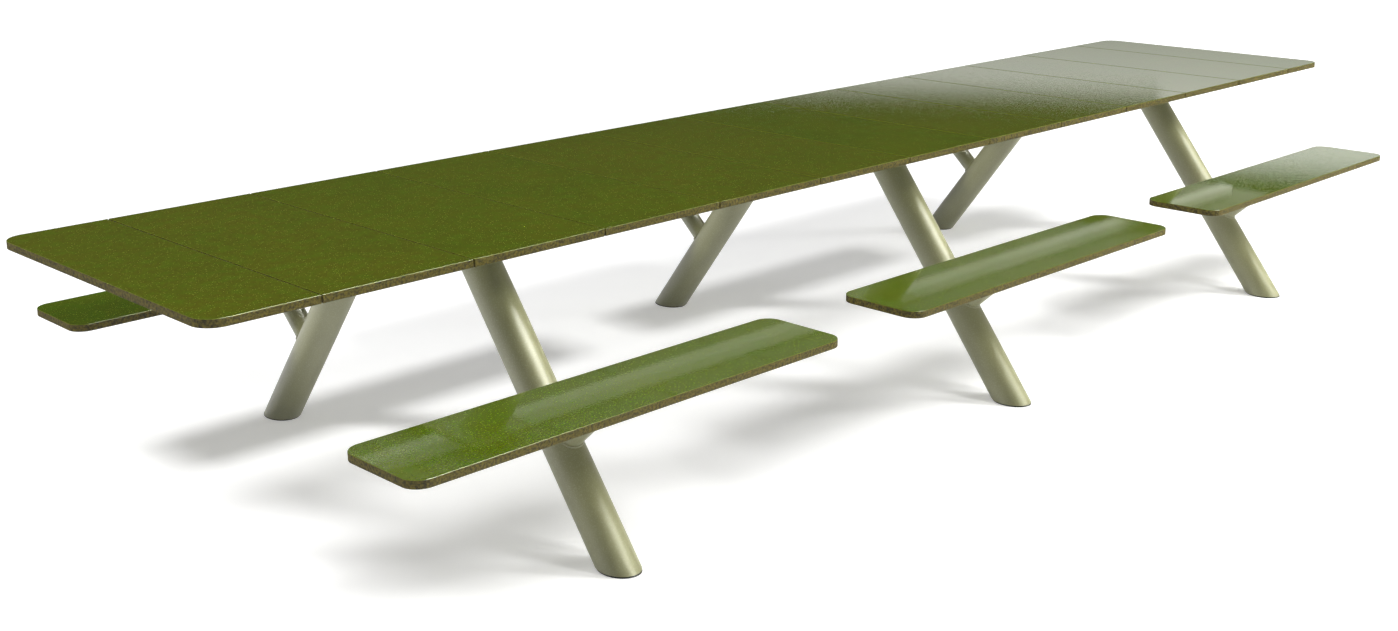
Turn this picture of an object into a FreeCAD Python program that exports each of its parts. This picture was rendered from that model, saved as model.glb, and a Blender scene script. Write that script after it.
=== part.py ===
"""Long picnic table: glazed stone slabs on leaning tube trestles that also carry six bench seats.

Millimetres. X runs along the table, Y across it and Z up. The origin is on the floor, under the top's middle.
"""
import FreeCAD, Part
import math
import os

# Table top: a row of stone slabs laid across the table
table_height = 750.0
slab_thickness = 20.0
slab_width = 400.0
slab_joint = 4.0
full_slab_count = 11
end_slab_width = 276.0
top_width = 980.0
top_corner_radius = 55.0
slab_upper_bevel = 2.0
slab_lower_bevel = 1.0

# Trestles: pairs of leaning round tubes, spaced by whole slabs
trestle_count = 3
slabs_per_trestle_step = 4
foot_spread = 1490.0
head_spread = 468.0
leg_diameter = 101.6
leg_wall = 4.0

# Foot glides: pads set in from the tube, with a plug that goes up its bore
glide_height = 4.0
glide_recess = 1.5
glide_plug_depth = 25.0
glide_plug_clearance = 0.3

# Trestle heads: one plate over both legs of a pair
head_thickness = 10.0
head_overhang = 25.0
head_bolt_margin = 22.0
head_corner_radius = 20.0

# Top rails: rectangular tubes along the table, a little inside the heads of the two rows of legs
rail_spread = 390.0
rail_width = 60.0
rail_height = 40.0
rail_wall = 3.0
rail_corner_radius = 6.0
rail_inner_radius = 3.0
rail_setback = 150.0
cap_thickness = 3.0
cap_plug_depth = 18.0
cap_plug_clearance = 0.3

# Bedding: elastic strips under all slabs
bedding_thickness = 3.0
rail_bedding_width = 44.0
bench_bedding_margin = 20.0

# Benches: one slab per leg on a flat bearer, in rows with a gap to step through
seat_height = 450.0
bench_gap = 292.0
bench_depth = 266.0
bench_spread = 1488.0
bench_thickness = 20.0
bench_corner_radius = 45.0
bearer_thickness = 8.0
bearer_end_margin = 120.0
bearer_side_margin = 54.0

# Bench arms: thinner tubes that branch off the legs and rise outward
arm_diameter = 60.3
arm_wall = 3.0
arm_lean_degrees = 47.5
arm_inset = 20.0

# Bolts between trestle heads and rails
bolt_diameter = 10.0
bolt_hole_clearance = 0.5
bolt_leg_clearance = 27.0
bolt_end_length = 3.0
hex_across_flats = 17.0
hex_sides = 6
bolt_head_height = 6.4
nut_height = 8.0
nut_thread_clearance = 0.1
washer_diameter = 20.0
washer_thickness = 2.0

# How far cutting shapes run past what they cut
cut_overrun = 5.0

# Places that follow from the sizes above
slab_pitch = slab_width + slab_joint
top_length = full_slab_count * slab_pitch + slab_joint + 2 * end_slab_width
trestle_step = slabs_per_trestle_step * slab_pitch
slab_underside = table_height - slab_thickness
rail_top = slab_underside - bedding_thickness
rail_bottom = rail_top - rail_height
head_bottom = rail_bottom - head_thickness
rail_length = top_length - 2 * rail_setback
bench_length = trestle_step - bench_gap
bench_underside = seat_height - bench_thickness
bearer_top = bench_underside - bedding_thickness
bearer_bottom = bearer_top - bearer_thickness
leg_radius = leg_diameter / 2
leg_lean = math.atan2((foot_spread - head_spread) / 2, head_bottom)
arm_lean = math.radians(arm_lean_degrees)
trestle_places = [(index - (trestle_count - 1) / 2) * trestle_step for index in range(trestle_count)]
half_turns = {"far": 0, "near": 180}
along = FreeCAD.Vector(1, 0, 0)
up = FreeCAD.Vector(0, 0, 1)


def edges_along(solid, direction):
    """Straight edges of a solid that run along a direction."""
    slopes = [(edge, edge.tangentAt(edge.FirstParameter) * direction) for edge in solid.Edges]
    return [edge for edge, slope in slopes if math.isclose(abs(slope), 1)]


def level_edges(solid, level):
    """Edges of a solid that lie at one level."""
    return [edge for edge in solid.Edges if all(math.isclose(vertex.Z, level) for vertex in edge.Vertexes)]


def plate(x_low, x_high, half_width, low, high, radius, rounded_ends=(-1, 1)):
    """Level plate with rounded corners at its low X end (-1), its high X end (1) or both."""
    corner = FreeCAD.Vector(x_low, -half_width, low)
    solid = Part.makeBox(x_high - x_low, 2 * half_width, high - low, corner)
    middle = (x_low + x_high) / 2
    ends = [(edge, math.copysign(1, edge.Vertexes[0].X - middle)) for edge in edges_along(solid, up)]
    corners = [edge for edge, end in ends if end in rounded_ends]
    return solid.makeFillet(radius, corners) if corners else solid


def eased(slab, low, high):
    """Stone slab with its upper and lower arrises bevelled."""
    slab = slab.makeChamfer(slab_upper_bevel, level_edges(slab, high))
    return slab.makeChamfer(slab_lower_bevel, level_edges(slab, low))


def between_levels(shape, low, high):
    """The stretch of a shape between two levels, sawn level at both ends."""
    box = shape.BoundBox
    block = Part.makeBox(
        box.XLength + 2 * cut_overrun,
        box.YLength + 2 * cut_overrun,
        high - low,
        FreeCAD.Vector(box.XMin - cut_overrun, box.YMin - cut_overrun, low),
    )
    return shape.common(block)


def leg_axis_y(level):
    """Distance of a leg's axis from the table's middle plane at a level."""
    return foot_spread / 2 - level * math.tan(leg_lean)


def leg_bar(x, radius, low, high):
    """Solid round bar on the axis of a far leg, sawn level at both ends."""
    run_out = radius * math.tan(leg_lean) + cut_overrun
    start = low - run_out
    length = (high - low + 2 * run_out) / math.cos(leg_lean)
    base = FreeCAD.Vector(x, leg_axis_y(start), start)
    direction = FreeCAD.Vector(0, -math.sin(leg_lean), math.cos(leg_lean))
    return between_levels(Part.makeCylinder(radius, length, base, direction), low, high)


def leg(x):
    """Leaning tube leg from its glide up to the trestle head."""
    outer = leg_bar(x, leg_radius, glide_height, head_bottom)
    bore = leg_bar(x, leg_radius - leg_wall, glide_height - cut_overrun, head_bottom + cut_overrun)
    return outer.cut(bore)


def foot_glide(x):
    """Pad under a leg, a little narrower than the tube, with a plug that fits its bore."""
    pad = leg_bar(x, leg_radius - glide_recess, 0, glide_height)
    plug_radius = leg_radius - leg_wall - glide_plug_clearance
    plug = leg_bar(x, plug_radius, glide_height, glide_height + glide_plug_depth)
    return pad.fuse(plug).removeSplitter()


def bench_arm(x):
    """Tube that branches off a leg: saddle-cut to the leg's round, sawn level under the bearer."""
    end_y = bench_spread / 2 - arm_inset
    drop = (end_y - leg_axis_y(bearer_bottom)) / (math.tan(leg_lean) + math.tan(arm_lean))
    run_out = arm_diameter * math.tan(arm_lean) + cut_overrun
    length = (drop + run_out) / math.cos(arm_lean)
    base = FreeCAD.Vector(x, end_y - drop * math.tan(arm_lean), bearer_bottom - drop)
    direction = FreeCAD.Vector(0, math.sin(arm_lean), math.cos(arm_lean))
    outer = Part.makeCylinder(arm_diameter / 2, length, base, direction)
    bore = Part.makeCylinder(arm_diameter / 2 - arm_wall, length, base, direction)
    tube = between_levels(outer.cut(bore), 0, bearer_bottom)
    return tube.cut(leg_bar(x, leg_radius, 0, head_bottom))


def under_bench(x, end_margin, side_margin, low, high):
    """Square-cut strip centred under a bench, smaller than it by a margin at the ends and the sides."""
    length = bench_length - 2 * end_margin
    depth = bench_depth - 2 * side_margin
    corner = FreeCAD.Vector(x - length / 2, bench_spread / 2 - depth / 2, low)
    return Part.makeBox(length, depth, high - low, corner)


def bench_bearer(x):
    """Flat steel bar, welded on the arm's end, that carries the bench slab."""
    return under_bench(x, bearer_end_margin, bearer_side_margin, bearer_bottom, bearer_top)


def bench_bedding(x):
    """Elastic strip between a bearer and its bench slab."""
    end_margin = bearer_end_margin + bench_bedding_margin
    side_margin = bearer_side_margin + bench_bedding_margin
    return under_bench(x, end_margin, side_margin, bearer_top, bench_underside)


def bench_slab(x):
    """Stone bench slab."""
    low_x = x - bench_length / 2
    high_x = x + bench_length / 2
    slab = plate(low_x, high_x, bench_depth / 2, bench_underside, seat_height, bench_corner_radius)
    return eased(slab, bench_underside, seat_height).translated(FreeCAD.Vector(0, bench_spread / 2, 0))


def top_slabs():
    """The slabs of the top, end to end; only the outer corners of the two end slabs are rounded."""
    widths = [end_slab_width] + [slab_width] * full_slab_count + [end_slab_width]
    rounded_ends = [(-1,)] + [()] * full_slab_count + [(1,)]
    slabs = []
    x = -top_length / 2
    for width, ends in zip(widths, rounded_ends):
        slab = plate(x, x + width, top_width / 2, slab_underside, table_height, top_corner_radius, ends)
        slabs.append(eased(slab, slab_underside, table_height))
        x += width + slab_joint
    return slabs


def bolt_places(x):
    """The four bolts of a trestle, one each side of each leg."""
    reach = leg_radius + bolt_leg_clearance
    rows = (-rail_spread / 2, rail_spread / 2)
    return [FreeCAD.Vector(bolt_x, y, 0) for y in rows for bolt_x in (x - reach, x + reach)]


def all_bolt_places():
    """Every bolt of the table."""
    return [place for x in trestle_places for place in bolt_places(x)]


def upright(radius, low, high, place):
    """Upright round bar between two levels."""
    return Part.makeCylinder(radius, high - low, FreeCAD.Vector(place.x, place.y, low))


def hexagon_bar(low, high, place):
    """Upright hexagon bar between two levels, as for bolt heads and nuts."""
    corner_radius = hex_across_flats / 2 / math.cos(math.pi / hex_sides)
    corners = []
    for step in range(hex_sides + 1):
        turn = math.tau * step / hex_sides
        corners.append(FreeCAD.Vector(corner_radius * math.cos(turn), corner_radius * math.sin(turn), low))
    bar = Part.Face(Part.makePolygon(corners)).extrude(FreeCAD.Vector(0, 0, high - low))
    return bar.translated(place)


def hole_radius():
    """Radius of the holes that the bolts pass."""
    return bolt_diameter / 2 + bolt_hole_clearance


def trestle_head(x):
    """Plate over the two legs of a trestle, with its bolt holes."""
    reach = head_spread / 2 + leg_radius / math.cos(leg_lean) + head_overhang
    half_width = leg_radius + bolt_leg_clearance + head_bolt_margin
    head = plate(x - half_width, x + half_width, reach, head_bottom, rail_bottom, head_corner_radius)
    for place in bolt_places(x):
        head = head.cut(upright(hole_radius(), head_bottom - cut_overrun, rail_bottom + cut_overrun, place))
    return head


def rail_bar(x_low, x_high, inset, radius):
    """Solid bar along the far rail's axis, smaller than the rail by an inset on all four sides."""
    width = rail_width - 2 * inset
    height = rail_height - 2 * inset
    corner = FreeCAD.Vector(x_low, rail_spread / 2 - width / 2, rail_bottom + inset)
    bar = Part.makeBox(x_high - x_low, width, height, corner)
    return bar.makeFillet(radius, edges_along(bar, along))


def top_rail(middle):
    """Rectangular tube along the table, with bolt holes in its lower wall."""
    low = middle - rail_length / 2
    high = middle + rail_length / 2
    tube = rail_bar(low, high, 0, rail_corner_radius)
    tube = tube.cut(rail_bar(low - cut_overrun, high + cut_overrun, rail_wall, rail_inner_radius))
    hole_top = rail_bottom + rail_wall + cut_overrun
    for place in all_bolt_places():
        tube = tube.cut(upright(hole_radius(), rail_bottom - cut_overrun, hole_top, place))
    return tube


def rail_bedding(middle):
    """Elastic strip between a rail and the slabs."""
    low_y = rail_spread / 2 - rail_bedding_width / 2
    corner = FreeCAD.Vector(middle - rail_length / 2, low_y, rail_top)
    return Part.makeBox(rail_length, rail_bedding_width, bedding_thickness, corner)


def rail_end_cap(end):
    """Cap on the far rail's low X end (-1) or high X end (1): a flange and a plug that goes into the tube."""
    rail_end = end * rail_length / 2
    outside = sorted((rail_end, rail_end + end * cap_thickness))
    inside = sorted((rail_end, rail_end - end * cap_plug_depth))
    flange = rail_bar(*outside, 0, rail_corner_radius)
    plug = rail_bar(*inside, rail_wall + cap_plug_clearance, rail_inner_radius)
    return flange.fuse(plug).removeSplitter()


def head_bolt(place):
    """Hexagon bolt from below, through washer, trestle head and rail wall into its nut."""
    seat = head_bottom - washer_thickness
    tip = rail_bottom + rail_wall + nut_height + bolt_end_length
    head = hexagon_bar(seat - bolt_head_height, seat, place)
    return head.fuse(upright(bolt_diameter / 2, seat, tip, place)).removeSplitter()


def head_washer(place):
    """Flat washer between a bolt's head and the trestle head."""
    low = head_bottom - washer_thickness
    disc = upright(washer_diameter / 2, low, head_bottom, place)
    return disc.cut(upright(hole_radius(), low - cut_overrun, head_bottom + cut_overrun, place))


def rail_nut(place):
    """Nut welded inside a rail, on its lower wall."""
    low = rail_bottom + rail_wall
    high = low + nut_height
    thread = upright(bolt_diameter / 2 + nut_thread_clearance, low - cut_overrun, high + cut_overrun, place)
    return hexagon_bar(low, high, place).cut(thread)


def half_turned(shape, x, degrees):
    """A far piece as it is, or turned half a turn about a place on the middle line, as the near one."""
    return shape.rotated(FreeCAD.Vector(x, 0, 0), FreeCAD.Vector(0, 0, 1), degrees)


def write(name, shape):
    """Write one piece, or one group of alike pieces, to its own file."""
    shape.exportStep(os.path.join("parts", name + ".step"))


def main():
    """Build every piece and write it."""
    os.makedirs("parts", exist_ok=True)
    for number, slab in enumerate(top_slabs(), 1):
        write(f"top_slab_{number:02d}", slab)
    leg_pieces = {
        "leg": leg,
        "foot_glide": foot_glide,
        "bench_arm": bench_arm,
        "bench_bearer": bench_bearer,
        "bench_bedding": bench_bedding,
        "bench_slab": bench_slab,
    }
    rail_pieces = {"top_rail": top_rail, "rail_bedding": rail_bedding}
    bolt_pieces = {"head_bolts": head_bolt, "head_washers": head_washer, "rail_nuts": rail_nut}
    for side, degrees in half_turns.items():
        for piece, maker in leg_pieces.items():
            for number, x in enumerate(trestle_places, 1):
                write(f"{piece}_{side}_{number}", half_turned(maker(x), x, degrees))
        for piece, maker in rail_pieces.items():
            write(f"{piece}_{side}", half_turned(maker(0), 0, degrees))
    for number, x in enumerate(trestle_places, 1):
        write(f"trestle_head_{number}", trestle_head(x))
    caps = [half_turned(rail_end_cap(end), 0, degrees) for degrees in half_turns.values() for end in (-1, 1)]
    write("rail_end_caps", Part.makeCompound(caps))
    for piece, maker in bolt_pieces.items():
        write(piece, Part.makeCompound([maker(place) for place in all_bolt_places()]))


main()
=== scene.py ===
"""Looks of a long picnic table: glazed lava-stone slabs on leaning tube trestles with bench seats."""

import logging
import math
import random
from dataclasses import dataclass, field
from enum import Enum

import bmesh
import bpy
from mathutils import Matrix, Vector


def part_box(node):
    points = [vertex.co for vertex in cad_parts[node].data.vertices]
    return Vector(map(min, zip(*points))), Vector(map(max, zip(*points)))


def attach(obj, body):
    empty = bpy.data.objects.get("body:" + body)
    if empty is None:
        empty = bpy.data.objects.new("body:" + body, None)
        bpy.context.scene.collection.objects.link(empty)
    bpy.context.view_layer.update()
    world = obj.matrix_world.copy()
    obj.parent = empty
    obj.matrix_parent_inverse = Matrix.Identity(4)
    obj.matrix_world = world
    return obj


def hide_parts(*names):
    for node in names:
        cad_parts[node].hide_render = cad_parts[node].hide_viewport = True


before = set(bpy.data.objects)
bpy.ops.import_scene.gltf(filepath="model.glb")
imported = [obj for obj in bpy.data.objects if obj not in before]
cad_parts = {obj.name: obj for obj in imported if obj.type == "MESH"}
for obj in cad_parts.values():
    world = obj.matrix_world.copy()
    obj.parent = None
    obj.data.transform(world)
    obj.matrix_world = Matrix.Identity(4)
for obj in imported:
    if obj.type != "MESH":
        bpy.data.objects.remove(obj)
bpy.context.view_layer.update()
log = logging.getLogger("picnic_table")

Inputs = dict[str | int, float | tuple[float, ...] | bpy.types.NodeSocket]
Span = tuple[float, float]

MM_PER_METRE = 1000.0
SRGB_STRAIGHT_END = 0.04045
SRGB_STRAIGHT_SLOPE = 12.92
SRGB_OFFSET = 0.055
SRGB_POWER = 2.4
BODY = "root"
TRESTLES = (1, 2, 3)
TOP_SLAB_COUNT = 13


class Slot(Enum):
    """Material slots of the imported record."""

    GLAZED_STONE = "glazed_stone"
    PAINTED_STEEL = "painted_steel"
    BLACK_RUBBER = "black_rubber"
    BLACK_PLASTIC = "black_plastic"
    ZINC_STEEL = "zinc_steel"


class Side(Enum):
    """The two long sides of the table, each with the sign of its Y."""

    NEAR = -1
    FAR = 1

    @property
    def word(self) -> str:
        """The side's word in node names."""
        return self.name.lower()


def linear(hex_colour: str) -> tuple[float, float, float, float]:
    """Turn an sRGB hex colour into linear RGBA.

    Args:
        hex_colour: six hex digits after a hash sign.

    Returns:
        Linear red, green, blue and an alpha of 1.
    """
    parts = [int(hex_colour[at:at + 2], 16) / 255 for at in (1, 3, 5)]
    bent = []
    for part in parts:
        if part <= SRGB_STRAIGHT_END:
            bent.append(part / SRGB_STRAIGHT_SLOPE)
        else:
            bent.append(((part + SRGB_OFFSET) / (1 + SRGB_OFFSET)) ** SRGB_POWER)
    return (bent[0], bent[1], bent[2], 1.0)


def per_metre(size_mm: float) -> float:
    """How many times a pattern of this size in millimetres fits in a metre."""
    return MM_PER_METRE / size_mm


def add_node(tree: bpy.types.NodeTree, kind: str, inputs: Inputs | None = None,
             **settings: str) -> bpy.types.Node:
    """Add one shader node with its settings and links.

    Args:
        tree: the node tree that takes the node.
        kind: Blender's type name of the node.
        inputs: values or output sockets by input name or index.
        settings: attributes of the node itself.

    Returns:
        The new node.
    """
    made = tree.nodes.new(kind)
    for name, value in settings.items():
        setattr(made, name, value)
    for name, value in (inputs or {}).items():
        if isinstance(value, bpy.types.NodeSocket):
            tree.links.new(value, made.inputs[name])
        else:
            made.inputs[name].default_value = value
    return made


def new_tree(name: str) -> tuple[bpy.types.Material, bpy.types.NodeTree]:
    """Make an empty node material.

    Args:
        name: the material's name.

    Returns:
        The material and its cleared node tree.
    """
    material = bpy.data.materials.new(name)
    material.use_nodes = True
    material.node_tree.nodes.clear()
    return material, material.node_tree


def add_piece(name: str, shape: bmesh.types.BMesh, material: bpy.types.Material) -> bpy.types.Object:
    """Turn a bmesh into a piece of the table that rides on its body.

    Args:
        name: the piece's name.
        shape: the finished bmesh, freed here.
        material: the piece's material.

    Returns:
        The new object.
    """
    mesh = bpy.data.meshes.new(name)
    shape.to_mesh(mesh)
    shape.free()
    mesh.materials.append(material)
    mesh.shade_smooth()
    piece = bpy.data.objects.new(name, mesh)
    bpy.context.scene.collection.objects.link(piece)
    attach(piece, BODY)
    return piece


def dress(nodes: list[str], material: bpy.types.Material) -> None:
    """Give CAD nodes a material through their objects' slots.

    Args:
        nodes: names of the nodes.
        material: the material for all of them.
    """
    for name in nodes:
        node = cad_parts[name]
        if not node.material_slots:
            node.data.materials.append(material)
        for slot in node.material_slots:
            slot.material = material
        log.info("%s: dressed in %s", name, material.name)


@dataclass(frozen=True)
class FiredGlaze:
    """Enamel glaze fired on sawn lava stone: deep green and mirror-smooth with a fine speckle, breaking to
    yellow over the arrises, thin and brown on the sawn flanks, bare grey stone underneath.

    Names that end in mm are in millimetres and depths in metres. A span is where a share starts and where it
    is full.
    """

    name: str = "fired_enamel_glaze_on_lava_stone"
    deep: str = "#495606"
    olive: str = "#535a08"
    moss: str = "#4f6a0c"
    grain: str = "#627214"
    speck: str = "#929c3e"
    pinhole: str = "#2f3c04"
    tawny: str = "#585510"
    tawny_strength: float = 0.45
    arris: str = "#667024"
    flank_dark: str = "#262108"
    flank_pale: str = "#645a20"
    drip: str = "#242c0a"
    stone_dark: str = "#8f8d87"
    stone_pale: str = "#aba9a3"
    cloud_mm: float = 240.0
    cloud_detail: float = 3.0
    cloud_span: Span = (0.35, 0.65)
    blotch_mm: float = 34.0
    blotch_detail: float = 4.0
    blotch_span: Span = (0.42, 0.7)
    gloss_span: Span = (0.3, 0.7)
    grain_mm: float = 5.0
    grain_detail: float = 2.0
    grain_span: Span = (0.5, 0.75)
    speck_mm: float = 5.2
    speck_from: float = 0.55
    speck_reach: float = 0.27
    pinhole_mm: float = 9.0
    pinhole_from: float = 0.7
    pinhole_reach: float = 0.18
    spot_fade: float = 0.2
    grit_mm: float = 6.0
    grit_detail: float = 3.0
    grit_span: Span = (0.36, 0.66)
    pore_mm: float = 5.0
    pore_detail: float = 4.0
    pore_span: Span = (0.35, 0.65)
    sag_mm: float = 12.0
    sag_detail: float = 1.0
    peel_mm: float = 4.5
    peel_detail: float = 0.0
    sag_depth: float = 0.00003
    peel_depth: float = 0.00004
    pore_depth: float = 0.0008
    smooth: float = 0.02
    dull: float = 0.04
    flank_roughness: float = 0.85
    stone_roughness: float = 0.85
    refraction: float = 1.6
    blotch_strength: float = 0.5
    grain_strength: float = 0.8
    noise_roughness: float = 0.55
    flank_span: Span = (0.8, 0.35)
    off_face_span: Span = (0.985, 0.85)
    off_flank_span: Span = (0.25, 0.6)
    drip_span: Span = (-0.05, -0.5)
    under_span: Span = (-0.6, -0.92)

    def material(self) -> bpy.types.Material:
        """Build the glaze's material.

        Returns:
            The material for slabs of one firing.
        """
        made, tree = new_tree(self.name)
        place = self.pattern_place(tree)
        noise = self.noises(tree, place)
        shares = self.shares(tree, noise)
        glazed = self.glaze_colour(tree, place, shares)
        edge = self.edge_colour(tree, shares)
        stone = add_node(tree, "ShaderNodeMix", {
            0: shares["pore"], 6: linear(self.stone_dark), 7: linear(self.stone_pale),
        }, data_type="RGBA").outputs[2]
        breaking = add_node(tree, "ShaderNodeMath", {0: shares["off_face"], 1: shares["off_flank"]},
                            operation="MULTIPLY").outputs[0]
        colour = glazed
        arris = linear(self.arris)
        for share, cover in ((shares["flank"], edge), (breaking, arris), (shares["under"], stone)):
            colour = add_node(tree, "ShaderNodeMix", {0: share, 6: colour, 7: cover},
                              data_type="RGBA").outputs[2]
        rough = add_node(tree, "ShaderNodeMix", {0: shares["gloss"], 2: self.smooth, 3: self.dull}).outputs[0]
        for share, cover in (
            (shares["flank"], self.flank_roughness),
            (shares["under"], self.stone_roughness),
        ):
            rough = add_node(tree, "ShaderNodeMix", {0: share, 2: rough, 3: cover}).outputs[0]
        shader = add_node(tree, "ShaderNodeBsdfPrincipled", {
            "Base Color": colour, "Roughness": rough, "Normal": self.relief(tree, noise, shares),
            "IOR": self.refraction,
        })
        add_node(tree, "ShaderNodeOutputMaterial", {"Surface": shader.outputs[0]})
        return made

    def pattern_place(self, tree: bpy.types.NodeTree) -> bpy.types.NodeSocket:
        """Shift a point into its slab's own patch of the pattern, so that no slab continues the next one.

        Args:
            tree: the node tree.

        Returns:
            The socket of the pattern's coordinates.
        """
        here = add_node(tree, "ShaderNodeTexCoord").outputs["Object"]
        patch = add_node(tree, "ShaderNodeAttribute", attribute_name="firing").outputs["Vector"]
        return add_node(tree, "ShaderNodeVectorMath", {0: here, 1: patch}, operation="ADD").outputs[0]

    def slab_tone(self, tree: bpy.types.NodeTree) -> bpy.types.NodeSocket:
        """How tawny a slab came out of the kiln, the same all over it.

        Args:
            tree: the node tree.

        Returns:
            The share's socket.
        """
        patch = add_node(tree, "ShaderNodeAttribute", attribute_name="firing").outputs["Vector"]
        drawn = add_node(tree, "ShaderNodeSeparateXYZ", {0: patch}).outputs["X"]
        part = add_node(tree, "ShaderNodeMath", {0: drawn}, operation="FRACT").outputs[0]
        return add_node(tree, "ShaderNodeMath", {0: part, 1: self.tawny_strength},
                        operation="MULTIPLY").outputs[0]

    def noises(self, tree: bpy.types.NodeTree,
               place: bpy.types.NodeSocket) -> dict[str, bpy.types.NodeSocket]:
        """Make the noises that the glaze and the stone are drawn from.

        Args:
            tree: the node tree.
            place: the pattern's coordinates.

        Returns:
            Noise sockets by name.
        """
        return {
            name: add_node(tree, "ShaderNodeTexNoise", {
                "Vector": place, "Scale": per_metre(size), "Detail": detail,
                "Roughness": self.noise_roughness,
            }).outputs["Fac"]
            for name, size, detail in (
                ("cloud", self.cloud_mm, self.cloud_detail),
                ("blotch", self.blotch_mm, self.blotch_detail),
                ("grain", self.grain_mm, self.grain_detail),
                ("grit", self.grit_mm, self.grit_detail),
                ("pore", self.pore_mm, self.pore_detail),
                ("sag", self.sag_mm, self.sag_detail),
                ("peel", self.peel_mm, self.peel_detail),
            )
        }

    def shares(self, tree: bpy.types.NodeTree,
               noise: dict[str, bpy.types.NodeSocket]) -> dict[str, bpy.types.NodeSocket]:
        """Make the shares that mix colours, roughness and relief.

        The first five follow how far the surface faces up, the others follow a noise.

        Args:
            tree: the node tree.
            noise: the noises by name.

        Returns:
            Share sockets by name, each from 0 to its greatest value.
        """
        normal = add_node(tree, "ShaderNodeNewGeometry").outputs["Normal"]
        upright = add_node(tree, "ShaderNodeSeparateXYZ", {0: normal}).outputs["Z"]
        return {
            name: add_node(tree, "ShaderNodeMapRange", {
                "Value": value, "From Min": span[0], "From Max": span[1], "To Max": greatest,
            }).outputs[0]
            for name, value, span, greatest in (
                ("flank", upright, self.flank_span, 1.0),
                ("off_face", upright, self.off_face_span, 1.0),
                ("off_flank", upright, self.off_flank_span, 1.0),
                ("drip", upright, self.drip_span, 1.0),
                ("under", upright, self.under_span, 1.0),
                ("cloud", noise["cloud"], self.cloud_span, 1.0),
                ("blotch", noise["blotch"], self.blotch_span, self.blotch_strength),
                ("gloss", noise["blotch"], self.gloss_span, 1.0),
                ("grain", noise["grain"], self.grain_span, self.grain_strength),
                ("grit", noise["grit"], self.grit_span, 1.0),
                ("pore", noise["pore"], self.pore_span, 1.0),
            )
        }

    def spots(self, tree: bpy.types.NodeTree, place: bpy.types.NodeSocket, size_mm: float, drawn_from: float,
              reach: float) -> bpy.types.NodeSocket:
        """Scatter round spots.

        Args:
            tree: the node tree.
            place: the pattern's coordinates.
            size_mm: mean spacing of the cells.
            drawn_from: share of the cells that carry no spot.
            reach: a spot's radius as a share of the cell.

        Returns:
            A socket that is 1 in a spot and 0 elsewhere.
        """
        cells = add_node(tree, "ShaderNodeTexVoronoi", {"Vector": place, "Scale": per_metre(size_mm)}).outputs
        near = add_node(tree, "ShaderNodeMapRange", {
            "Value": cells["Distance"], "From Min": reach, "From Max": reach / 2,
        })
        drawn = add_node(tree, "ShaderNodeSeparateXYZ", {0: cells["Color"]})
        chosen = add_node(tree, "ShaderNodeMapRange", {
            "Value": drawn.outputs[0], "From Min": drawn_from, "From Max": drawn_from + self.spot_fade,
        })
        return add_node(tree, "ShaderNodeMath", {0: near.outputs[0], 1: chosen.outputs[0]},
                        operation="MULTIPLY").outputs[0]

    def glaze_colour(self, tree: bpy.types.NodeTree, place: bpy.types.NodeSocket,
                     shares: dict[str, bpy.types.NodeSocket]) -> bpy.types.NodeSocket:
        """Colour the glazed face: clouds, blotches and grain, with pale specks and dark pinholes.

        Args:
            tree: the node tree.
            place: the pattern's coordinates.
            shares: the shares by name.

        Returns:
            The colour's socket.
        """
        # The real specks are about 1 mm wide; they are drawn about 3 mm wide so that they show.
        specks = self.spots(tree, place, self.speck_mm, self.speck_from, self.speck_reach)
        pinholes = self.spots(tree, place, self.pinhole_mm, self.pinhole_from, self.pinhole_reach)
        colour = linear(self.deep)
        for share, cover in (
            (shares["cloud"], self.olive),
            (self.slab_tone(tree), self.tawny),
            (shares["blotch"], self.moss),
            (shares["grain"], self.grain),
            (specks, self.speck),
            (pinholes, self.pinhole),
        ):
            colour = add_node(tree, "ShaderNodeMix", {0: share, 6: colour, 7: linear(cover)},
                              data_type="RGBA").outputs[2]
        return colour

    def edge_colour(self, tree: bpy.types.NodeTree,
                    shares: dict[str, bpy.types.NodeSocket]) -> bpy.types.NodeSocket:
        """Colour the sawn flank: gritty ochre brown, drawn darker where it turns downward into its lower
        arris.

        Args:
            tree: the node tree.
            shares: the shares by name.

        Returns:
            The colour's socket.
        """
        colour = linear(self.flank_dark)
        # The flank is drawn a darker green on faces that turn downward along its lower arris.
        for share, cover in ((shares["grit"], self.flank_pale), (shares["drip"], self.drip)):
            colour = add_node(tree, "ShaderNodeMix", {0: share, 6: colour, 7: linear(cover)},
                              data_type="RGBA").outputs[2]
        return colour

    def relief(self, tree: bpy.types.NodeTree, noise: dict[str, bpy.types.NodeSocket],
               shares: dict[str, bpy.types.NodeSocket]) -> bpy.types.NodeSocket:
        """Raise the face's relief: a slow sag, a fine orange peel, and pores in the bare stone underneath.

        Args:
            tree: the node tree.
            noise: the noises by name.
            shares: the shares by name.

        Returns:
            The normal's socket.
        """
        # Real orange peel is 1 to 2 mm wide; it is drawn 4.5 mm wide so that it speckles mirrored light.
        sag = add_node(tree, "ShaderNodeBump", {"Height": noise["sag"], "Distance": self.sag_depth})
        peel = add_node(tree, "ShaderNodeBump", {
            "Height": noise["peel"], "Distance": self.peel_depth, "Normal": sag.outputs[0],
        })
        pores = add_node(tree, "ShaderNodeBump", {
            "Height": noise["pore"], "Distance": self.pore_depth, "Strength": shares["under"],
            "Normal": peel.outputs[0],
        })
        return pores.outputs[0]


# The benches come from another firing of the same glaze, a little greener than the top's.
BENCH_GLAZE = FiredGlaze(
    "fired_green_glaze_on_lava_stone", deep="#4a5c06", olive="#54620a", moss="#476a0c", grain="#597314",
    tawny_strength=0.2,
)


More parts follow.
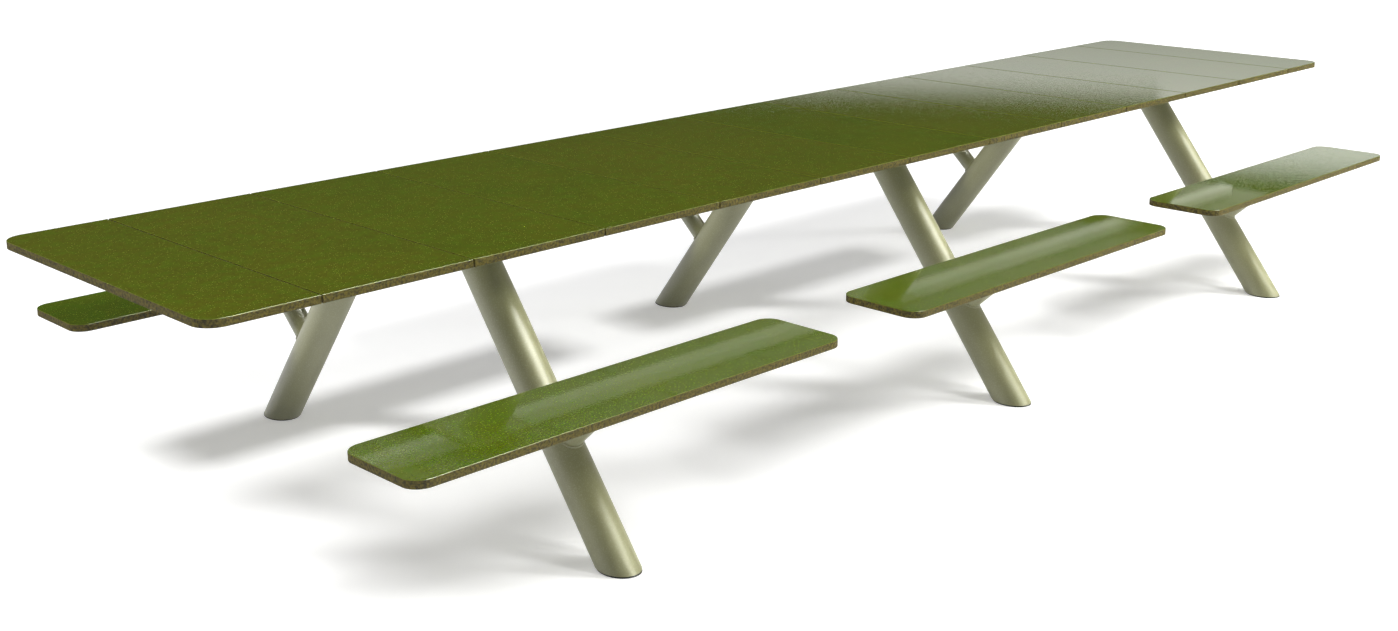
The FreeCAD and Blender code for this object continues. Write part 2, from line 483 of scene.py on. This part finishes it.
@dataclass(frozen=True)
class PowderCoat:
    """Champagne powder coat baked on steel tube under a clear lacquer: a satin sage-gold skin with fine flake
    and a faint orange peel, on which a soft panel draws long highlights."""

    name: str = "champagne_powder_coat_on_steel"
    pale: str = "#8b8b64"
    deep: str = "#7f7f58"
    flake: str = "#b0af90"
    flake_mm: float = 3.0
    cloud_mm: float = 180.0
    peel_mm: float = 4.0
    peel_depth: float = 0.00004
    smooth: float = 0.5
    dull: float = 0.58
    clear_weight: float = 1.0
    clear_roughness: float = 0.45
    clear_refraction: float = 1.7
    noise_detail: float = 2.0
    cloud_span: Span = (0.3, 0.7)
    flake_span: Span = (0.5, 0.8)
    flake_strength: float = 0.5
    rough_span: Span = (0.3, 0.7)

    def material(self) -> bpy.types.Material:
        """Build the coat's material.

        Returns:
            The material for coated steel.
        """
        made, tree = new_tree(self.name)
        here = add_node(tree, "ShaderNodeTexCoord").outputs["Object"]
        noise = {
            name: add_node(tree, "ShaderNodeTexNoise", {
                "Vector": here, "Scale": per_metre(size), "Detail": self.noise_detail,
            }).outputs["Fac"]
            for name, size in (("flake", self.flake_mm), ("cloud", self.cloud_mm), ("peel", self.peel_mm))
        }
        cloud = add_node(tree, "ShaderNodeMapRange", {
            "Value": noise["cloud"], "From Min": self.cloud_span[0], "From Max": self.cloud_span[1],
        })
        tone = add_node(tree, "ShaderNodeMix", {
            0: cloud.outputs[0], 6: linear(self.pale), 7: linear(self.deep),
        }, data_type="RGBA")
        # Real flake is under 0.1 mm; it is drawn 3 mm coarse, as a faint shimmer.
        shimmer = add_node(tree, "ShaderNodeMapRange", {
            "Value": noise["flake"], "From Min": self.flake_span[0], "From Max": self.flake_span[1],
            "To Max": self.flake_strength,
        })
        colour = add_node(tree, "ShaderNodeMix", {
            0: shimmer.outputs[0], 6: tone.outputs[2], 7: linear(self.flake),
        }, data_type="RGBA")
        rough = add_node(tree, "ShaderNodeMapRange", {
            "Value": noise["flake"], "From Min": self.rough_span[0], "From Max": self.rough_span[1],
            "To Min": self.smooth, "To Max": self.dull,
        })
        peel = add_node(tree, "ShaderNodeBump", {"Height": noise["peel"], "Distance": self.peel_depth})
        shader = add_node(tree, "ShaderNodeBsdfPrincipled", {
            "Base Color": colour.outputs[2], "Roughness": rough.outputs[0], "Normal": peel.outputs[0],
            "Coat Weight": self.clear_weight, "Coat Roughness": self.clear_roughness,
            "Coat IOR": self.clear_refraction,
        })
        add_node(tree, "ShaderNodeOutputMaterial", {"Surface": shader.outputs[0]})
        return made


# The rails' coat is painted near white, a painted brightness: it makes the benches mirror a pale band where
# the rails run under the top, brighter than the rails' shaded faces give in the frame's own coat.
PAINTED_BRIGHT_RAIL_COAT = PowderCoat("pale_powder_coat_on_steel", pale="#ecebe4", deep="#e2e1d8", flake="#f2f2ee")


@dataclass(frozen=True)
class FineGrain:
    """A plain finish with a fine grain: two tones, a roughness range and a shallow relief of one size."""

    name: str
    first: str
    second: str
    grain_mm: float
    smooth: float
    dull: float
    depth: float
    stretch: tuple[float, float, float] = (1.0, 1.0, 1.0)
    metallic: float = 0.0
    noise_detail: float = 3.0
    tone_span: Span = (0.35, 0.65)
    rough_span: Span = (0.3, 0.7)

    def material(self) -> bpy.types.Material:
        """Build the finish's material.

        Returns:
            The material for the pieces of this finish.
        """
        made, tree = new_tree(self.name)
        here = add_node(tree, "ShaderNodeTexCoord").outputs["Object"]
        drawn = add_node(tree, "ShaderNodeVectorMath", {0: here, 1: self.stretch}, operation="MULTIPLY")
        grain = add_node(tree, "ShaderNodeTexNoise", {
            "Vector": drawn.outputs[0], "Scale": per_metre(self.grain_mm), "Detail": self.noise_detail,
        }).outputs["Fac"]
        tone = add_node(tree, "ShaderNodeMapRange", {
            "Value": grain, "From Min": self.tone_span[0], "From Max": self.tone_span[1],
        })
        colour = add_node(tree, "ShaderNodeMix", {
            0: tone.outputs[0], 6: linear(self.first), 7: linear(self.second),
        }, data_type="RGBA")
        rough = add_node(tree, "ShaderNodeMapRange", {
            "Value": grain, "From Min": self.rough_span[0], "From Max": self.rough_span[1],
            "To Min": self.smooth, "To Max": self.dull,
        })
        relief = add_node(tree, "ShaderNodeBump", {"Height": grain, "Distance": self.depth})
        shader = add_node(tree, "ShaderNodeBsdfPrincipled", {
            "Base Color": colour.outputs[2], "Roughness": rough.outputs[0], "Normal": relief.outputs[0],
            "Metallic": self.metallic,
        })
        add_node(tree, "ShaderNodeOutputMaterial", {"Surface": shader.outputs[0]})
        return made


# Extruded EPDM: a dull black skin that barely shines.
EXTRUDED_RUBBER = FineGrain(
    "extruded_epdm_rubber", "#141414", "#1d1d1c", grain_mm=2.0, smooth=0.75, dull=0.9, depth=0.0001,
)
# Moulded polyethylene: black with a waxy, finely grained skin.
MOULDED_PLASTIC = FineGrain(
    "moulded_polyethylene", "#161616", "#222221", grain_mm=1.6, smooth=0.45, dull=0.6, depth=0.00008,
)
# Zinc-plated steel: pale bluish silver with faint turning marks.
ZINC_PLATE = FineGrain(
    "zinc_plated_steel", "#a9adb1", "#c3c6c8", grain_mm=1.5, smooth=0.25, dull=0.42, depth=0.00003,
    stretch=(1.0, 1.0, 4.0), metallic=1.0,
)


@dataclass
class GlazedSlab:
    """One sawn slab: a plate with rounded arrises, whose corners in plan are round or only eased."""

    upper_arris: float = 0.0016
    lower_arris: float = 0.0012
    arris_steps: int = 6
    eased_corner: float = 0.0008
    least_radius: float = 0.00005
    round_steps: int = 24
    eased_steps: int = 3

    def ring(self, low: Vector, high: Vector, inset: float,
             radii: tuple[float, ...]) -> list[tuple[float, float, float]]:
        """Outline of the plate, moved inwards.

        Args:
            low: the plate's lowest corner.
            high: the plate's highest corner.
            inset: how far the outline lies inside the plate's own.
            radii: corner radii, anticlockwise from the corner of highest X and Y.

        Returns:
            Places with their outward angle: x, y and the angle.
        """
        corners = ((high.x, high.y), (low.x, high.y), (low.x, low.y), (high.x, low.y))
        places = []
        for number, ((corner_x, corner_y), radius) in enumerate(zip(corners, radii)):
            steps = self.round_steps if radius > self.eased_corner else self.eased_steps
            left = max(radius - inset, self.least_radius)
            side_x = 1.0 if corner_x == high.x else -1.0
            side_y = 1.0 if corner_y == high.y else -1.0
            middle_x = corner_x - side_x * (inset + left)
            middle_y = corner_y - side_y * (inset + left)
            for step in range(steps + 1):
                angle = math.pi / 2 * (number + step / steps)
                places.append((middle_x + left * math.cos(angle), middle_y + left * math.sin(angle), angle))
        return places

    def profile(self, low: Vector, high: Vector) -> list[tuple[float, float, float]]:
        """The arris profile from the lower face to the upper one.

        Args:
            low: the plate's lowest corner.
            high: the plate's highest corner.

        Returns:
            Rows of inset, height and the normal's elevation.
        """
        rows = []
        for step in range(self.arris_steps + 1):
            turn = math.pi / 2 * (step / self.arris_steps - 1.0)
            inset = self.lower_arris * (1.0 - math.cos(turn))
            rows.append((inset, low.z + self.lower_arris * (1.0 + math.sin(turn)), turn))
        for step in range(self.arris_steps + 1):
            turn = math.pi / 2 * step / self.arris_steps
            inset = self.upper_arris * (1.0 - math.cos(turn))
            rows.append((inset, high.z - self.upper_arris * (1.0 - math.sin(turn)), turn))
        return rows

    def build(self, node: str, radii: tuple[float, ...], material: bpy.types.Material,
              patch: Vector) -> bpy.types.Object:
        """Build a slab in the place of its CAD node.

        Args:
            node: the CAD node that the slab replaces.
            radii: corner radii, anticlockwise from the corner of highest X and Y.
            material: the slab's material.
            patch: the slab's own shift in the glaze's pattern.

        Returns:
            The slab's object.
        """
        low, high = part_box(node)
        shape = bmesh.new()
        rings = []
        normals = []
        for inset, height, turn in self.profile(low, high):
            ring = []
            for x, y, angle in self.ring(low, high, inset, radii):
                ring.append(shape.verts.new((x, y, height)))
                level = math.cos(turn)
                normals.append((level * math.cos(angle), level * math.sin(angle), math.sin(turn)))
            rings.append(ring)
        for lower, upper in zip(rings, rings[1:]):
            for here in range(len(lower)):
                after = (here + 1) % len(lower)
                shape.faces.new((lower[here], lower[after], upper[after], upper[here]))
        shape.faces.new(rings[-1])
        shape.faces.new(list(reversed(rings[0])))
        piece = add_piece(f"glazed_{node}", shape, material)
        piece.data.normals_split_custom_set_from_vertices(normals)
        firing = piece.data.attributes.new("firing", "FLOAT_VECTOR", "POINT")
        firing.data.foreach_set("vector", list(patch) * len(normals))
        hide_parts(node)
        size = (high - low) * MM_PER_METRE
        log.info("%s: slab of %.0f by %.0f mm", piece.name, size.x, size.y)
        return piece


@dataclass
class StoneWork:
    """The table top's row of slabs and the six bench slabs."""

    slab: GlazedSlab = field(default_factory=GlazedSlab)
    top_corner: float = 0.055
    bench_corner: float = 0.045
    patch_reach: float = 40.0
    seed: int = 7

    def build(self, top_material: bpy.types.Material, bench_material: bpy.types.Material) -> None:
        """Build all slabs in their glazes.

        Args:
            top_material: the glaze of the table top.
            bench_material: the glaze of the benches.
        """
        draw = random.Random(self.seed)
        eased = self.slab.eased_corner
        for number in range(1, TOP_SLAB_COUNT + 1):
            right = self.top_corner if number == TOP_SLAB_COUNT else eased
            left = self.top_corner if number == 1 else eased
            self.slab.build(f"top_slab_{number:02d}", (right, left, left, right), top_material,
                            self.patch(draw))
        for side in Side:
            for number in TRESTLES:
                self.slab.build(f"bench_slab_{side.word}_{number}", (self.bench_corner,) * 4, bench_material,
                                self.patch(draw))

    def patch(self, draw: random.Random) -> Vector:
        """Draw a slab's own shift in the pattern."""
        return Vector([draw.uniform(0.0, self.patch_reach) for _ in range(3)])


@dataclass
class SteelFrame:
    """Legs, bench arms, bearers, trestle heads and rails, with the weld beads that join them."""

    foot_half_spread: float = 0.745
    head_half_spread: float = 0.234
    leg_radius: float = 0.0508
    arm_radius: float = 0.03015
    arm_half_spread: float = 0.724
    arm_lean: float = math.radians(47.5)
    bead_radius: float = 0.0035
    bead_pitch: float = 0.008
    bead_swell: float = 0.12
    steps_per_pitch: int = 4
    bead_sides: int = 8
    seat_share: float = 0.3
    trace_steps: int = 240

    def build(self, material: bpy.types.Material, rail_material: bpy.types.Material) -> None:
        """Dress the steel nodes and lay the weld beads.

        Args:
            material: the trestles' coat.
            rail_material: the rails' coat, painted bright so that the benches mirror a pale band.
        """
        dress([f"top_rail_{side.word}" for side in Side], rail_material)
        nodes = [f"trestle_head_{number}" for number in TRESTLES]
        for kind in ("leg", "bench_arm", "bench_bearer"):
            nodes += [f"{kind}_{side.word}_{number}" for side in Side for number in TRESTLES]
        dress(nodes, material)
        for side in Side:
            for number in TRESTLES:
                self.weld(side, number, material)

    def weld(self, side: Side, number: int, material: bpy.types.Material) -> None:
        """Lay the three beads of one leg: under the trestle head, at the arm's saddle and under the bearer.

        Args:
            side: the leg's side of the table.
            number: the leg's trestle.
            material: the coat's material.
        """
        head_low, head_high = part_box(f"trestle_head_{number}")
        bearer_low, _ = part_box(f"bench_bearer_{side.word}_{number}")
        middle = (head_low.x + head_high.x) / 2
        foot = Vector((middle, side.value * self.foot_half_spread, 0.0))
        head = Vector((middle, side.value * self.head_half_spread, head_low.z))
        rise = (head - foot).normalized()
        out = Vector((0.0, side.value * math.sin(self.arm_lean), math.cos(self.arm_lean)))
        arm_end = Vector((middle, side.value * self.arm_half_spread, bearer_low.z))
        beads = {
            "head_weld": self.flat_path(head, rise, self.leg_radius),
            "bearer_weld": self.flat_path(arm_end, out, self.arm_radius),
            "saddle_weld": self.saddle_path(arm_end, out, foot, rise),
        }
        for name, path in beads.items():
            shape = self.bead(path)
            piece = add_piece(f"{name}_{side.word}_{number}", shape, material)
            log.info("%s: bead of %d steps", piece.name, len(path))

    def flat_path(self, middle: Vector, axis: Vector, radius: float) -> list[tuple[Vector, Vector]]:
        """Where a leaning tube meets a level plate above it.

        Args:
            middle: where the tube's axis meets the plate.
            axis: the tube's direction, upwards.
            radius: the tube's outer radius.

        Returns:
            Places along the joint, each with the direction away from both metals.
        """
        down = Vector((0.0, 0.0, -1.0))
        across = Vector((1.0, 0.0, 0.0))
        along = axis.cross(across)
        path = []
        for step in range(self.trace_steps):
            turn = 2 * math.pi * step / self.trace_steps
            radial = across * math.cos(turn) + along * math.sin(turn)
            edge = middle + radial * radius
            place = edge - axis * ((edge.z - middle.z) / axis.z)
            path.append((place, (radial + down).normalized()))
        return path

    def saddle_path(self, arm_end: Vector, out: Vector, foot: Vector,
                    rise: Vector) -> list[tuple[Vector, Vector]]:
        """Where the bench arm's saddle cut meets the leg.

        Args:
            arm_end: where the arm's axis meets the bearer.
            out: the arm's direction, outwards and up.
            foot: a place on the leg's axis.
            rise: the leg's direction, upwards.

        Returns:
            Places along the joint, each with the direction away from both metals.
        """
        across = Vector((1.0, 0.0, 0.0))
        along = out.cross(across)
        inward = -out - rise * (-out).dot(rise)
        path = []
        for step in range(self.trace_steps):
            turn = 2 * math.pi * step / self.trace_steps
            radial = across * math.cos(turn) + along * math.sin(turn)
            start = arm_end + radial * self.arm_radius
            away = start - foot
            away = away - rise * away.dot(rise)
            square = inward.dot(inward)
            half = away.dot(inward)
            rest = away.dot(away) - self.leg_radius ** 2
            reach = (-half - math.sqrt(half * half - square * rest)) / square
            place = start - out * reach
            from_leg = (away + inward * reach).normalized()
            path.append((place, (radial + from_leg).normalized()))
        return path

    def evenly(self, path: list[tuple[Vector, Vector]]) -> list[tuple[Vector, Vector]]:
        """Space a closed path's places evenly, with a whole number of bead ripples round it.

        Args:
            path: places along the joint, each with the direction away from both metals.

        Returns:
            The evenly spaced places with their directions.
        """
        closed = path + path[:1]
        lengths = [0.0]
        for (here, _), (after, _) in zip(closed, closed[1:]):
            lengths.append(lengths[-1] + (after - here).length)
        count = round(lengths[-1] / self.bead_pitch) * self.steps_per_pitch
        spaced = []
        at = 0
        for step in range(count):
            wanted = lengths[-1] * step / count
            while lengths[at + 1] < wanted:
                at += 1
            share = (wanted - lengths[at]) / (lengths[at + 1] - lengths[at])
            place = closed[at][0].lerp(closed[at + 1][0], share)
            spaced.append((place, closed[at][1].lerp(closed[at + 1][1], share).normalized()))
        return spaced

    def bead(self, path: list[tuple[Vector, Vector]]) -> bmesh.types.BMesh:
        """Sweep a rippled bead along a closed joint.

        Args:
            path: places along the joint, each with the direction away from both metals.

        Returns:
            The bead's shape.
        """
        spaced = self.evenly(path)
        count = len(spaced)
        shape = bmesh.new()
        rings = []
        for step, (place, away) in enumerate(spaced):
            tangent = (spaced[(step + 1) % count][0] - spaced[step - 1][0]).normalized()
            away = (away - tangent * away.dot(tangent)).normalized()
            beside = tangent.cross(away)
            ripple = math.cos(2 * math.pi * step / self.steps_per_pitch)
            radius = self.bead_radius * (1.0 + self.bead_swell * ripple)
            middle = place + away * (self.seat_share * self.bead_radius)
            ring = []
            for side in range(self.bead_sides):
                turn = 2 * math.pi * side / self.bead_sides
                spoke = away * math.cos(turn) + beside * math.sin(turn)
                ring.append(shape.verts.new(middle + spoke * radius))
            rings.append(ring)
        for step in range(count):
            here, after = rings[step], rings[(step + 1) % count]
            for side in range(self.bead_sides):
                beyond = (side + 1) % self.bead_sides
                shape.faces.new((here[side], here[beyond], after[beyond], after[side]))
        bmesh.ops.recalc_face_normals(shape, faces=shape.faces)
        return shape


@dataclass
class Fittings:
    """Bedding strips, foot glides, rail caps and the bolted joints' fasteners."""

    def build(self, rubber: bpy.types.Material, plastic: bpy.types.Material,
              zinc: bpy.types.Material) -> None:
        """Dress the small CAD nodes.

        Args:
            rubber: material of the bedding strips.
            plastic: material of the glides and caps.
            zinc: material of bolts, washers and nuts.
        """
        places = [f"{side.word}_{number}" for side in Side for number in TRESTLES]
        dress([f"bench_bedding_{place}" for place in places], rubber)
        dress([f"rail_bedding_{side.word}" for side in Side], rubber)
        dress([f"foot_glide_{place}" for place in places] + ["rail_end_caps"], plastic)
        dress(["head_bolts", "head_washers", "rail_nuts"], zinc)


@dataclass(frozen=True)
class Softbox:
    """A softbox that faces the table's middle; its strength is the light that a face there gets from it."""

    name: str
    place: tuple[float, float, float]
    width: float
    height: float
    strength: float

    def hang(self) -> None:
        """Add the softbox to the scene."""
        light = bpy.data.lights.new(self.name, "AREA")
        light.shape = "RECTANGLE"
        light.size = self.width
        light.size_y = self.height
        place = Vector(self.place)
        light.energy = self.strength * math.pi * place.length_squared
        box = bpy.data.objects.new(self.name, light)
        box.location = place
        box.rotation_euler = place.to_track_quat("Z", "Y").to_euler()
        # The bright boxes would burn white patches into the glaze; mirrors see the world's panel instead.
        box.visible_glossy = False
        bpy.context.scene.collection.objects.link(box)
        log.info("%s: %.1f m away", self.name, place.length)


# The main boxes hang at the right in front and at the left behind; the floor is grey where both are hidden.
KEY_BOX = Softbox("key_softbox", (5.7, -5.1, 6.4), width=2.1, height=2.1, strength=2.0)
BACK_BOX = Softbox("back_softbox", (-6.5, 2.0, 7.3), width=2.1, height=2.1, strength=1.85)
# A small box in front and a low strip at the right fill the legs' near sides.
FRONT_BOX = Softbox("front_softbox", (1.55, -6.2, 5.9), width=1.8, height=1.8, strength=1.05)
STRIP_BOX = Softbox("strip_softbox", (8.0, -5.2, 2.8), width=1.2, height=4.0, strength=1.2)


@dataclass
class Studio:
    """White floor, four softboxes, a plain world and the camera."""

    floor_reach: float = 90.0
    floor_colour: str = "#f7f7f7"
    floor_lift: float = 0.31
    far_lift: float = 1.0
    near_floor: float = 4.0
    far_floor: float = 9.0
    boxes: tuple[Softbox, ...] = (KEY_BOX, BACK_BOX, FRONT_BOX, STRIP_BOX)
    fill: float = 0.12
    low_glow: float = 0.39
    high_glow: float = 1.2
    ceiling_glow: float = 0.03
    glow_low: float = math.radians(6.5)
    glow_high: float = math.radians(11.0)
    left_top: float = math.radians(9.2)
    right_top: float = math.radians(11.4)
    wall_step: float = math.radians(61.4)
    wall_fade: float = 0.003
    step_fade: float = 0.015
    panel_from: tuple[float, float, float] = (0.396, -0.366, 0.842)
    panel_inner: float = math.radians(11.0)
    panel_outer: float = math.radians(16.5)
    panel_glow: float = 42.0
    eye: tuple[float, float, float] = (-4.06278, -3.459417, 1.741483)
    yaw: float = math.radians(45.0544)
    pitch: float = math.radians(13.0466)
    roll: float = math.radians(-0.2040)
    picture_width: float = 1398.0
    focal_pixels: float = 1665.069
    shift_up: float = -0.08262
    sensor_width: float = 36.0

    def build(self) -> None:
        """Set floor, lamps, world, camera and the plain view transform."""
        self.floor()
        for box in self.boxes:
            box.hang()
        self.world()
        self.camera()
        bpy.context.scene.view_settings.view_transform = "Standard"

    def seen_rays(self, tree: bpy.types.NodeTree) -> bpy.types.NodeSocket:
        """A share that is 1 for camera, glossy and transmission rays and 0 for rays that light the object.

        Args:
            tree: the node tree.

        Returns:
            The share's socket.
        """
        rays = add_node(tree, "ShaderNodeLightPath").outputs
        first = add_node(tree, "ShaderNodeMath", {0: rays["Is Camera Ray"], 1: rays["Is Glossy Ray"]},
                         operation="MAXIMUM")
        both = add_node(tree, "ShaderNodeMath", {0: first.outputs[0], 1: rays["Is Transmission Ray"]},
                        operation="MAXIMUM")
        return both.outputs[0]

    def floor(self) -> None:
        """Lay a pale matte floor, lifted to white for the eye, and more so far off, where the lamps fade."""
        material, tree = new_tree("matte_white_studio_floor")
        matte = add_node(tree, "ShaderNodeBsdfDiffuse", {"Color": linear(self.floor_colour)})
        here = add_node(tree, "ShaderNodeTexCoord").outputs["Object"]
        away = add_node(tree, "ShaderNodeVectorMath", {0: here}, operation="LENGTH").outputs["Value"]
        level = add_node(tree, "ShaderNodeMapRange", {
            "Value": away, "From Min": self.near_floor, "From Max": self.far_floor,
            "To Min": self.floor_lift, "To Max": self.far_lift,
        }).outputs[0]
        gate = add_node(tree, "ShaderNodeMath", {0: self.seen_rays(tree), 1: level}, operation="MULTIPLY")
        lift = add_node(tree, "ShaderNodeEmission", {"Strength": gate.outputs[0]})
        both = add_node(tree, "ShaderNodeAddShader", {0: matte.outputs[0], 1: lift.outputs[0]})
        add_node(tree, "ShaderNodeOutputMaterial", {"Surface": both.outputs[0]})
        shape = bmesh.new()
        reach = self.floor_reach
        corners = [shape.verts.new((x, y, 0.0)) for x, y in
                   ((-reach, -reach), (reach, -reach), (reach, reach), (-reach, reach))]
        shape.faces.new(corners)
        mesh = bpy.data.meshes.new("studio_floor")
        shape.to_mesh(mesh)
        shape.free()
        mesh.materials.append(material)
        floor = bpy.data.objects.new("studio_floor", mesh)
        bpy.context.scene.collection.objects.link(floor)

    def wall(self, tree: bpy.types.NodeTree, where: bpy.types.NodeSocket) -> bpy.types.NodeSocket:
        """A low wall that brightens upwards and is taller to the right, under a dim ceiling.

        Args:
            tree: the world's node tree.
            where: the direction that is looked in.

        Returns:
            The socket of the wall's glow.
        """
        height = add_node(tree, "ShaderNodeSeparateXYZ", {0: where}).outputs["Z"]
        across = (math.cos(self.wall_step), -math.sin(self.wall_step), 0.0)
        side = add_node(tree, "ShaderNodeVectorMath", {0: where, 1: across}, operation="DOT_PRODUCT")
        right = add_node(tree, "ShaderNodeMapRange", {
            "Value": side.outputs["Value"], "From Min": -self.step_fade, "From Max": self.step_fade,
        })
        top = add_node(tree, "ShaderNodeMix", {
            0: right.outputs[0], 2: math.sin(self.left_top), 3: math.sin(self.right_top),
        })
        glow = add_node(tree, "ShaderNodeMapRange", {
            "Value": height, "From Min": math.sin(self.glow_low), "From Max": math.sin(self.glow_high),
            "To Min": self.low_glow, "To Max": self.high_glow,
        })
        above = add_node(tree, "ShaderNodeMath", {0: height, 1: top.outputs[0]}, operation="SUBTRACT")
        return add_node(tree, "ShaderNodeMapRange", {
            "Value": above.outputs[0], "From Min": -self.wall_fade, "From Max": self.wall_fade,
            "To Min": glow.outputs[0], "To Max": self.ceiling_glow,
        }).outputs[0]

    def panel(self, tree: bpy.types.NodeTree, where: bpy.types.NodeSocket) -> bpy.types.NodeSocket:
        """A soft round panel, high at the right in front, that draws the highlights on the legs.

        Args:
            tree: the world's node tree.
            where: the direction that is looked in.

        Returns:
            The socket of the panel's glow.
        """
        facing = add_node(tree, "ShaderNodeVectorMath", {0: where, 1: self.panel_from},
                          operation="DOT_PRODUCT")
        return add_node(tree, "ShaderNodeMapRange", {
            "Value": facing.outputs["Value"], "From Min": math.cos(self.panel_outer),
            "From Max": math.cos(self.panel_inner), "To Max": self.panel_glow,
        }).outputs[0]

    def world(self) -> None:
        """Set the world: white to the eye, wall and panel to glossy faces, an even fill otherwise."""
        world = bpy.data.worlds.new("studio")
        world.use_nodes = True
        tree = world.node_tree
        tree.nodes.clear()
        rays = add_node(tree, "ShaderNodeLightPath").outputs
        where = add_node(tree, "ShaderNodeTexCoord").outputs["Generated"]
        glossy = add_node(tree, "ShaderNodeMath", {0: self.wall(tree, where), 1: self.panel(tree, where)},
                          operation="ADD")
        mirrored = add_node(tree, "ShaderNodeMix", {
            0: rays["Is Glossy Ray"], 2: self.fill, 3: glossy.outputs[0],
        })
        white = add_node(tree, "ShaderNodeMath", {0: rays["Is Camera Ray"], 1: rays["Is Transmission Ray"]},
                         operation="MAXIMUM")
        level = add_node(tree, "ShaderNodeMix", {0: white.outputs[0], 2: mirrored.outputs[0], 3: 1.0})
        sky = add_node(tree, "ShaderNodeBackground", {
            "Color": linear("#ffffff"), "Strength": level.outputs[0],
        })
        add_node(tree, "ShaderNodeOutputWorld", {"Surface": sky.outputs[0]})
        bpy.context.scene.world = world

    def camera(self) -> None:
        """Set the camera at the photo's place and angle."""
        ahead = Vector((
            math.sin(self.yaw) * math.cos(self.pitch),
            math.cos(self.yaw) * math.cos(self.pitch),
            -math.sin(self.pitch),
        ))
        level_right = Vector((math.cos(self.yaw), -math.sin(self.yaw), 0.0))
        level_up = level_right.cross(ahead)
        right = level_right * math.cos(self.roll) + level_up * math.sin(self.roll)
        up = level_up * math.cos(self.roll) - level_right * math.sin(self.roll)
        lens = bpy.data.cameras.new("photo_camera")
        lens.sensor_fit = "HORIZONTAL"
        lens.sensor_width = self.sensor_width
        lens.lens = self.focal_pixels / self.picture_width * self.sensor_width
        lens.shift_y = self.shift_up
        lens.clip_end = 2 * self.floor_reach
        camera = bpy.data.objects.new("photo_camera", lens)
        turn = Matrix((right, up, -ahead)).transposed().to_4x4()
        camera.matrix_world = Matrix.Translation(self.eye) @ turn
        bpy.context.scene.collection.objects.link(camera)
        bpy.context.scene.camera = camera


def main() -> None:
    """Build the table's looks and its studio."""
    logging.basicConfig(level=logging.INFO, format="%(message)s")
    StoneWork().build(FiredGlaze().material(), BENCH_GLAZE.material())
    SteelFrame().build(PowderCoat().material(), PAINTED_BRIGHT_RAIL_COAT.material())
    Fittings().build(EXTRUDED_RUBBER.material(), MOULDED_PLASTIC.material(), ZINC_PLATE.material())
    Studio().build()


if __name__ == "__main__":
    main()
